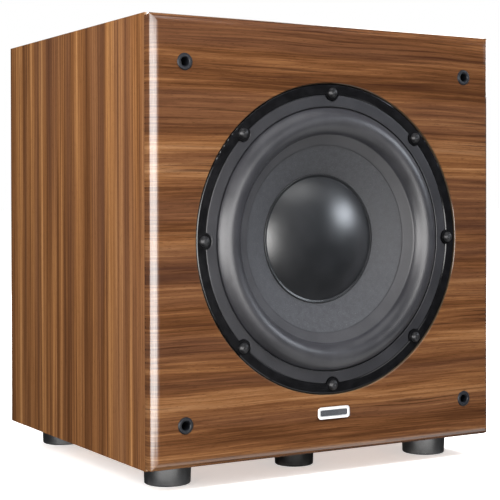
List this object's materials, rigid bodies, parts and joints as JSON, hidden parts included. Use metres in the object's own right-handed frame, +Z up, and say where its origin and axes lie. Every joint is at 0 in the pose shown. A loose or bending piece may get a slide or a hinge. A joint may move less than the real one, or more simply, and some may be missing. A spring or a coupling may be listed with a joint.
{
  "type": "subwoofer",
  "caption": "Powered subwoofer in a nearly square wood-finish box: front-firing cone driver with a rubber half-roll surround, rubber feet and a rear plate amplifier with controls.",
  "frame": {"origin": "on the floor, under the centre of the bounding box", "axes": "+Z up, +Y from the driver at the front towards the amplifier at the back, +X to the right as seen from the front"},
  "size_m": [0.3434, 0.3285, 0.3795],
  "materials": {
    "walnut_foil": "satin",
    "black_board": "matt",
    "bare_board": "matt",
    "wadding": "matt",
    "foot_rubber": "satin",
    "surround_rubber": "satin",
    "black_plastic": "matt",
    "cone_paper": "matt",
    "cap_plastic": "satin",
    "frame_black": "gloss",
    "black_screw": "gloss",
    "zinc_screw": "satin",
    "motor_steel": "satin",
    "ferrite": "matt",
    "copper_wire": "satin",
    "former_foil": "satin",
    "spider_cloth": "matt",
    "strip_board": "matt",
    "brass": "satin",
    "lead_cover": "satin",
    "amp_panel": "matt",
    "heatsink_metal": "matt",
    "circuit": "satin",
    "transformer_tape": "satin",
    "capacitor_sleeve": "gloss",
    "badge_metal": "brushed",
    "badge_enamel": "gloss",
    "nickel": "polished",
    "jack_insulator": "gloss",
    "led_lens": "gloss"
  },
  "bodies": {
    "cabinet": {"acoustic_wadding": "wadding", "amp_plate": "amp_panel", "amp_screws": "black_screw", "back_panel": "black_board", "badge_inlay": "badge_enamel", "badge_plate": "badge_metal", "board_standoffs": "brass", "bottom_panel": "walnut_foil", "centre_foot": "foot_rubber", "circuit_board": "circuit", "control_pots": "zinc_screw", "driver_basket": "frame_black", "driver_gasket": "foot_rubber", "driver_screws": "black_screw", "driver_terminals": "brass", "foot_screws": "zinc_screw", "front_baffle": "walnut_foil", "front_left_foot": "foot_rubber", "front_right_foot": "foot_rubber", "grille_sockets": "black_plastic", "heatsink": "heatsink_metal", "inlet_pins": "nickel", "left_side_panel": "walnut_foil", "magnet_boot": "foot_rubber", "magnet_ring": "ferrite", "mains_inlet": "black_plastic", "mains_switch_bezel": "black_plastic", "output_transistors": "black_plastic", "phase_switch_body": "black_plastic", "pole_piece": "motor_steel", "rca_insulators": "jack_insulator", "rca_sleeves": "nickel", "rear_left_foot": "foot_rubber", "rear_right_foot": "foot_rubber", "reservoir_capacitors": "capacitor_sleeve", "right_side_panel": "walnut_foil", "speaker_leads": "lead_cover", "spider": "spider_cloth", "status_led": "led_lens", "surround": "surround_rubber", "surround_gasket_ring": "surround_rubber", "terminal_strip": "strip_board", "tinsel_leads": "copper_wire", "top_panel": "walnut_foil", "top_plate": "motor_steel", "toroidal_transformer": "transformer_tape", "transformer_clamp": "zinc_screw", "window_brace": "bare_board"},
    "cone_assembly": {"cone": "cone_paper", "dust_cap": "cap_plastic", "voice_coil_former": "former_foil", "voice_coil": "copper_wire"},
    "volume_control": {"volume_knob": "black_plastic", "volume_shaft": "zinc_screw"},
    "crossover_control": {"crossover_knob": "black_plastic", "crossover_shaft": "zinc_screw"},
    "phase_slide": {"phase_slider": "black_plastic"},
    "mains_switch": {"mains_rocker": "cap_plastic"},
    "fuse_holder": {"fuse_drawer": "black_plastic"}
  },
  "joints": [
    {"name": "cone_travel", "type": "slide", "parent": "cabinet", "child": "cone_assembly", "axis": [0, -1, 0], "range_m": [-0.009, 0.009], "stiffness_N_per_m": 3000, "deforming": ["surround", "spider", "tinsel_leads"]},
    {"name": "volume_turn", "type": "hinge", "parent": "cabinet", "child": "volume_control", "pos_m": [-0.05, 0.14425, 0.2815], "axis": [0, 1, 0], "range_deg": [-150, 150]},
    {"name": "crossover_turn", "type": "hinge", "parent": "cabinet", "child": "crossover_control", "pos_m": [-0.05, 0.14425, 0.2415], "axis": [0, 1, 0], "range_deg": [-150, 150]},
    {"name": "phase_travel", "type": "slide", "parent": "cabinet", "child": "phase_slide", "axis": [1, 0, 0], "range_m": [0, 0.004]},
    {"name": "mains_rock", "type": "hinge", "parent": "cabinet", "child": "mains_switch", "pos_m": [-0.022, 0.14025, 0.1155], "axis": [1, 0, 0], "range_deg": [-18, 0]},
    {"name": "fuse_drawer_travel", "type": "slide", "parent": "cabinet", "child": "fuse_holder", "axis": [0, 1, 0], "range_m": [0, 0.015]}
  ]
}
